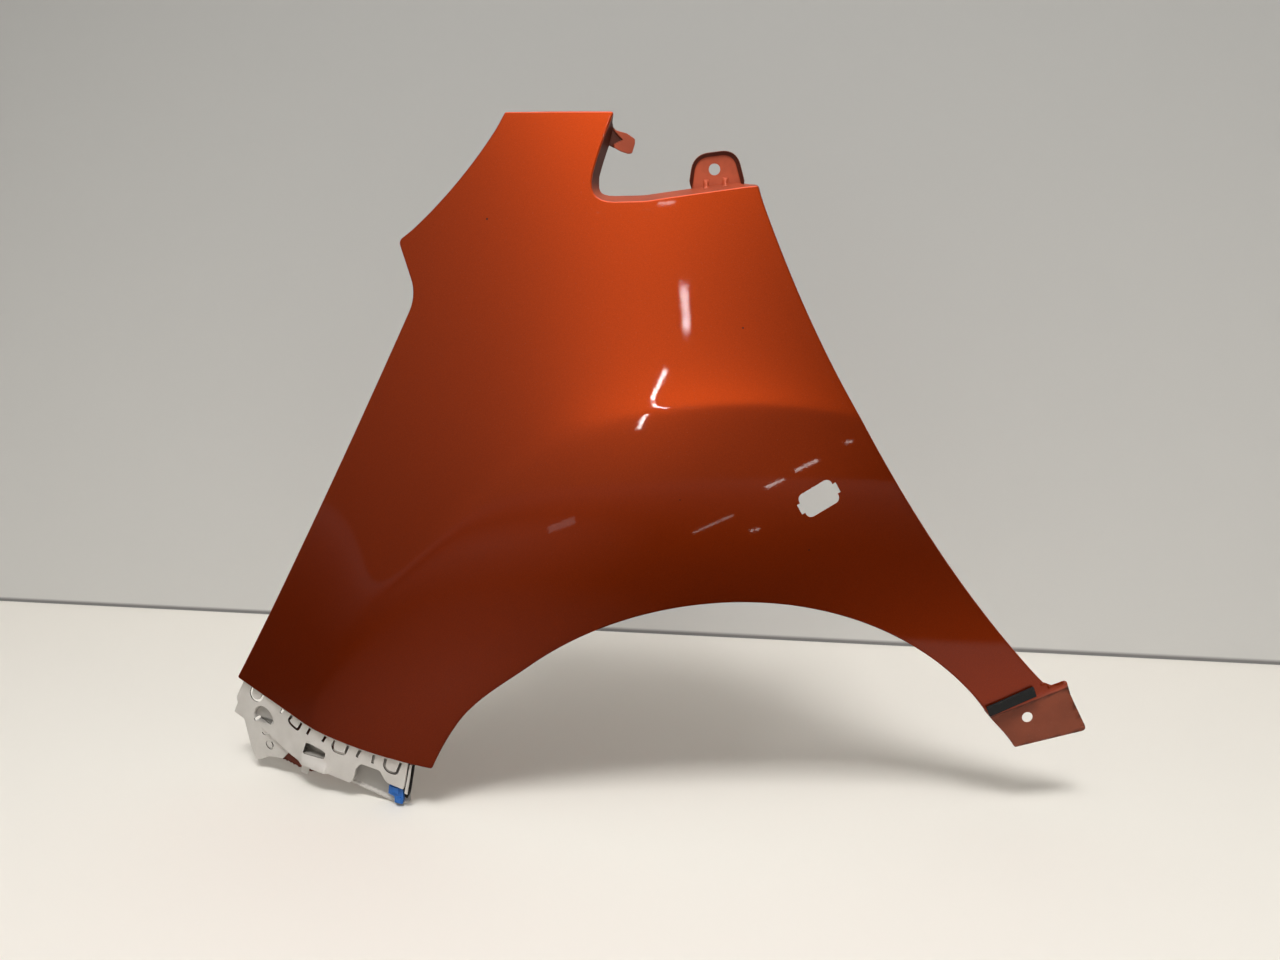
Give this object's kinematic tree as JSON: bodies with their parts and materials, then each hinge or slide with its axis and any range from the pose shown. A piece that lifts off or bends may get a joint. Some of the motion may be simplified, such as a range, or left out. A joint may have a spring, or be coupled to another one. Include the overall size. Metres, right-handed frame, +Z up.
{
  "type": "car fender",
  "caption": "Left front fender of a small car, with its wheel arch, side lamp hole and fixing tabs, and the plastic bumper side bracket still screwed to its lower front edge.",
  "frame": {"origin": "bottom centre of the whole part's box, in the attitude in which the loose panel stands on the bracket and the sill tab", "axes": "+X towards the car's rear, +Y inboard (the painted skin faces -Y), +Z up in the standing attitude; the car's own upright leans 26 degrees from +Z towards -X"},
  "size_m": [0.9742, 0.1852, 0.7449],
  "materials": {
    "orange_paint": "burnt orange metallic paint with a clear coat",
    "primer_paint": "thin body colour over primer",
    "grey_plastic": "light warm grey, matt moulded",
    "zinc_steel": "zinc plated",
    "dark_steel": "dark phosphated spring steel",
    "blue_plastic": "blue, semi-gloss",
    "black_foam": "black closed-cell foam"
  },
  "bodies": {
    "root": {"fender_panel": "orange_paint", "steel_strap": "primer_paint", "bumper_side_bracket": "grey_plastic", "bracket_screw_front": "zinc_steel", "bracket_screw_rear": "zinc_steel", "clip_nut": "dark_steel", "blue_clip": "blue_plastic", "foam_strip": "black_foam"}
  },
  "joints": []
}
